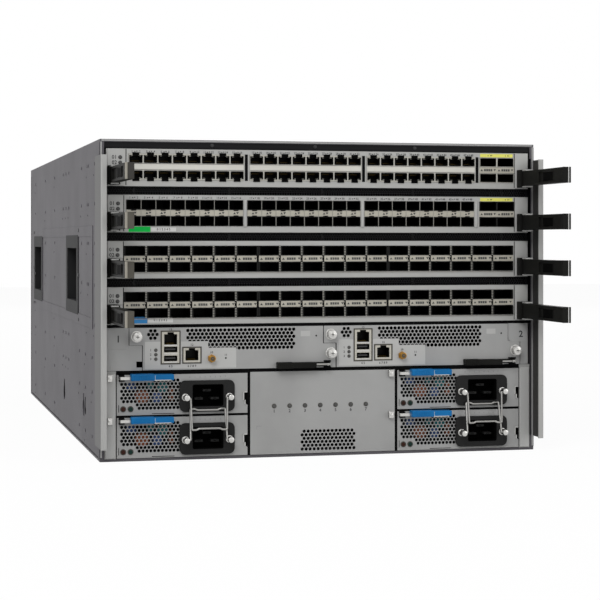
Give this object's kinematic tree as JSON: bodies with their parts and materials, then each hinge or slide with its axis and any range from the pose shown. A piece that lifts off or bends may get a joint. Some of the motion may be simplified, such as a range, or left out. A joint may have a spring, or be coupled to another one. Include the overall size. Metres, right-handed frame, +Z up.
{
  "type": "modular chassis switch",
  "caption": "Rack chassis switch with levered line cards, twin supervisors, latched power supplies with wire bails, a status panel and rear fan trays.",
  "frame": {"origin": "centre of the chassis underside, levers not counted", "axes": "+Z up, the port face towards -Y, +X to the right seen from the front"},
  "size_m": [0.444, 0.909, 0.309],
  "materials": {
    "panel_paint": "satin",
    "front_sheet": "satin",
    "black_sheet": "matte",
    "board": "matte",
    "card_face": "satin",
    "cage_metal": "satin",
    "lever_black": "satin",
    "inlet_black": "satin",
    "bail_wire": "polished",
    "latch_blue": "satin",
    "socket_metal": "satin",
    "tray_metal": "satin",
    "fan_black": "matte"
  },
  "bodies": {
    "chassis": {"side_panel_left": "panel_paint", "side_panel_right": "panel_paint", "handle_cups": "panel_paint", "top_cover": "panel_paint", "base_pan": "panel_paint", "front_brackets": "front_sheet", "front_lintel": "black_sheet", "card_guides": "front_sheet", "bay_frame": "front_sheet", "filler_plates": "front_sheet", "status_panel": "front_sheet", "fabric_modules": "board", "rear_frame": "front_sheet"},
    "line_card_1": {"line_card_1": "card_face", "port_cages_1": "cage_metal"},
    "card_lever_1_left": {"card_lever_1_left": "lever_black"},
    "card_lever_1_right": {"card_lever_1_right": "lever_black"},
    "line_card_2": {"line_card_2": "card_face", "port_cages_2": "cage_metal"},
    "card_lever_2_left": {"card_lever_2_left": "lever_black"},
    "card_lever_2_right": {"card_lever_2_right": "lever_black"},
    "line_card_3": {"line_card_3": "card_face", "port_cages_3": "cage_metal"},
    "card_lever_3_left": {"card_lever_3_left": "lever_black"},
    "card_lever_3_right": {"card_lever_3_right": "lever_black"},
    "line_card_4": {"line_card_4": "card_face", "port_cages_4": "cage_metal"},
    "card_lever_4_left": {"card_lever_4_left": "lever_black"},
    "card_lever_4_right": {"card_lever_4_right": "lever_black"},
    "supervisor_1": {"supervisor_1": "front_sheet", "supervisor_sockets_1": "socket_metal"},
    "supervisor_lever_1": {"supervisor_lever_1": "lever_black"},
    "supervisor_2": {"supervisor_2": "front_sheet", "supervisor_sockets_2": "socket_metal"},
    "supervisor_lever_2": {"supervisor_lever_2": "lever_black"},
    "power_supply_1": {"power_supply_1": "front_sheet", "power_inlet_1": "inlet_black"},
    "power_latch_1": {"power_latch_1": "latch_blue"},
    "cord_bail_1": {"cord_bail_1": "bail_wire"},
    "power_supply_2": {"power_supply_2": "front_sheet", "power_inlet_2": "inlet_black"},
    "power_latch_2": {"power_latch_2": "latch_blue"},
    "cord_bail_2": {"cord_bail_2": "bail_wire"},
    "power_supply_3": {"power_supply_3": "front_sheet", "power_inlet_3": "inlet_black"},
    "power_latch_3": {"power_latch_3": "latch_blue"},
    "cord_bail_3": {"cord_bail_3": "bail_wire"},
    "power_supply_4": {"power_supply_4": "front_sheet", "power_inlet_4": "inlet_black"},
    "power_latch_4": {"power_latch_4": "latch_blue"},
    "cord_bail_4": {"cord_bail_4": "bail_wire"},
    "fan_tray_1": {"fan_tray_1": "tray_metal"},
    "fan_rotor_1_lower": {"fan_rotor_1_lower": "fan_black"},
    "fan_rotor_1_upper": {"fan_rotor_1_upper": "fan_black"},
    "fan_tray_2": {"fan_tray_2": "tray_metal"},
    "fan_rotor_2_lower": {"fan_rotor_2_lower": "fan_black"},
    "fan_rotor_2_upper": {"fan_rotor_2_upper": "fan_black"},
    "fan_tray_3": {"fan_tray_3": "tray_metal"},
    "fan_rotor_3_lower": {"fan_rotor_3_lower": "fan_black"},
    "fan_rotor_3_upper": {"fan_rotor_3_upper": "fan_black"}
  },
  "joints": [
    {"name": "line_card_1_slide", "type": "slide", "parent": "chassis", "child": "line_card_1", "axis": [0, -1, 0], "range_m": [0, 0.37]},
    {"name": "card_lever_1_left_swing", "type": "hinge", "parent": "line_card_1", "child": "card_lever_1_left", "pos_m": [-0.208, -0.4045, 0.27415], "axis": [0, 0, -1], "range_deg": [0, 22]},
    {"name": "card_lever_1_right_swing", "type": "hinge", "parent": "line_card_1", "child": "card_lever_1_right", "pos_m": [0.208, -0.4045, 0.27415], "axis": [0, 0, 1], "range_deg": [0, 22]},
    {"name": "line_card_2_slide", "type": "slide", "parent": "chassis", "child": "line_card_2", "axis": [0, -1, 0], "range_m": [0, 0.37]},
    {"name": "card_lever_2_left_swing", "type": "hinge", "parent": "line_card_2", "child": "card_lever_2_left", "pos_m": [-0.208, -0.4045, 0.22985], "axis": [0, 0, -1], "range_deg": [0, 22]},
    {"name": "card_lever_2_right_swing", "type": "hinge", "parent": "line_card_2", "child": "card_lever_2_right", "pos_m": [0.208, -0.4045, 0.22985], "axis": [0, 0, 1], "range_deg": [0, 22]},
    {"name": "line_card_3_slide", "type": "slide", "parent": "chassis", "child": "line_card_3", "axis": [0, -1, 0], "range_m": [0, 0.37]},
    {"name": "card_lever_3_left_swing", "type": "hinge", "parent": "line_card_3", "child": "card_lever_3_left", "pos_m": [-0.208, -0.4045, 0.18555], "axis": [0, 0, -1], "range_deg": [0, 22]},
    {"name": "card_lever_3_right_swing", "type": "hinge", "parent": "line_card_3", "child": "card_lever_3_right", "pos_m": [0.208, -0.4045, 0.18555], "axis": [0, 0, 1], "range_deg": [0, 22]},
    {"name": "line_card_4_slide", "type": "slide", "parent": "chassis", "child": "line_card_4", "axis": [0, -1, 0], "range_m": [0, 0.37]},
    {"name": "card_lever_4_left_swing", "type": "hinge", "parent": "line_card_4", "child": "card_lever_4_left", "pos_m": [-0.208, -0.4045, 0.14125], "axis": [0, 0, -1], "range_deg": [0, 22]},
    {"name": "card_lever_4_right_swing", "type": "hinge", "parent": "line_card_4", "child": "card_lever_4_right", "pos_m": [0.208, -0.4045, 0.14125], "axis": [0, 0, 1], "range_deg": [0, 22]},
    {"name": "supervisor_1_slide", "type": "slide", "parent": "chassis", "child": "supervisor_1", "axis": [0, -1, 0], "range_m": [0, 0.37]},
    {"name": "supervisor_lever_1_swing", "type": "hinge", "parent": "supervisor_1", "child": "supervisor_lever_1", "pos_m": [0.0035, -0.3917, 0.0905], "axis": [0, 0, 1], "range_deg": [0, 70]},
    {"name": "supervisor_2_slide", "type": "slide", "parent": "chassis", "child": "supervisor_2", "axis": [0, -1, 0], "range_m": [0, 0.37]},
    {"name": "supervisor_lever_2_swing", "type": "hinge", "parent": "supervisor_2", "child": "supervisor_lever_2", "pos_m": [0.196, -0.3917, 0.0905], "axis": [0, 0, 1], "range_deg": [0, 70]},
    {"name": "power_supply_1_slide", "type": "slide", "parent": "chassis", "child": "power_supply_1", "axis": [0, -1, 0], "range_m": [0, 0.37]},
    {"name": "power_latch_1_swing", "type": "hinge", "parent": "power_supply_1", "child": "power_latch_1", "pos_m": [-0.19955, -0.3914, 0.0799], "axis": [0, 0, -1], "range_deg": [0, 60]},
    {"name": "cord_bail_1_swing", "type": "hinge", "parent": "power_supply_1", "child": "cord_bail_1", "pos_m": [-0.1163, -0.4, 0.0606], "axis": [-1, 0, 0], "range_deg": [0, 135]},
    {"name": "power_supply_2_slide", "type": "slide", "parent": "chassis", "child": "power_supply_2", "axis": [0, -1, 0], "range_m": [0, 0.37]},
    {"name": "power_latch_2_swing", "type": "hinge", "parent": "power_supply_2", "child": "power_latch_2", "pos_m": [0.08045, -0.3914, 0.0799], "axis": [0, 0, -1], "range_deg": [0, 60]},
    {"name": "cord_bail_2_swing", "type": "hinge", "parent": "power_supply_2", "child": "cord_bail_2", "pos_m": [0.1637, -0.4, 0.0606], "axis": [-1, 0, 0], "range_deg": [0, 135]},
    {"name": "power_supply_3_slide", "type": "slide", "parent": "chassis", "child": "power_supply_3", "axis": [0, -1, 0], "range_m": [0, 0.37]},
    {"name": "power_latch_3_swing", "type": "hinge", "parent": "power_supply_3", "child": "power_latch_3", "pos_m": [-0.19955, -0.3914, 0.0388], "axis": [0, 0, -1], "range_deg": [0, 60]},
    {"name": "cord_bail_3_swing", "type": "hinge", "parent": "power_supply_3", "child": "cord_bail_3", "pos_m": [-0.1163, -0.4, 0.0195], "axis": [1, 0, 0], "range_deg": [0, 88]},
    {"name": "power_supply_4_slide", "type": "slide", "parent": "chassis", "child": "power_supply_4", "axis": [0, -1, 0], "range_m": [0, 0.37]},
    {"name": "power_latch_4_swing", "type": "hinge", "parent": "power_supply_4", "child": "power_latch_4", "pos_m": [0.08045, -0.3914, 0.0388], "axis": [0, 0, -1], "range_deg": [0, 60]},
    {"name": "cord_bail_4_swing", "type": "hinge", "parent": "power_supply_4", "child": "cord_bail_4", "pos_m": [0.1637, -0.4, 0.0195], "axis": [1, 0, 0], "range_deg": [0, 88]},
    {"name": "fan_tray_1_slide", "type": "slide", "parent": "chassis", "child": "fan_tray_1", "axis": [0, 1, 0], "range_m": [0, 0.065]},
    {"name": "fan_rotor_1_lower_spin", "type": "hinge", "parent": "fan_tray_1", "child": "fan_rotor_1_lower", "pos_m": [-0.1439, 0.3585, 0.08325], "axis": [0, 1, 0], "continuous": true},
    {"name": "fan_rotor_1_upper_spin", "type": "hinge", "parent": "fan_tray_1", "child": "fan_rotor_1_upper", "pos_m": [-0.1439, 0.3585, 0.22575], "axis": [0, 1, 0], "continuous": true},
    {"name": "fan_tray_2_slide", "type": "slide", "parent": "chassis", "child": "fan_tray_2", "axis": [0, 1, 0], "range_m": [0, 0.065]},
    {"name": "fan_rotor_2_lower_spin", "type": "hinge", "parent": "fan_tray_2", "child": "fan_rotor_2_lower", "pos_m": [0, 0.3585, 0.08325], "axis": [0, 1, 0], "continuous": true},
    {"name": "fan_rotor_2_upper_spin", "type": "hinge", "parent": "fan_tray_2", "child": "fan_rotor_2_upper", "pos_m": [0, 0.3585, 0.22575], "axis": [0, 1, 0], "continuous": true},
    {"name": "fan_tray_3_slide", "type": "slide", "parent": "chassis", "child": "fan_tray_3", "axis": [0, 1, 0], "range_m": [0, 0.065]},
    {"name": "fan_rotor_3_lower_spin", "type": "hinge", "parent": "fan_tray_3", "child": "fan_rotor_3_lower", "pos_m": [0.1439, 0.3585, 0.08325], "axis": [0, 1, 0], "continuous": true},
    {"name": "fan_rotor_3_upper_spin", "type": "hinge", "parent": "fan_tray_3", "child": "fan_rotor_3_upper", "pos_m": [0.1439, 0.3585, 0.22575], "axis": [0, 1, 0], "continuous": true}
  ],
  "couplings": [
    {"joint": "cord_bail_3_swing", "follows": "cord_bail_1_swing", "ratio": 0.65},
    {"joint": "power_supply_3_slide", "follows": "power_supply_1_slide", "ratio": 1},
    {"joint": "cord_bail_4_swing", "follows": "cord_bail_2_swing", "ratio": 0.65},
    {"joint": "power_supply_4_slide", "follows": "power_supply_2_slide", "ratio": 1}
  ]
}
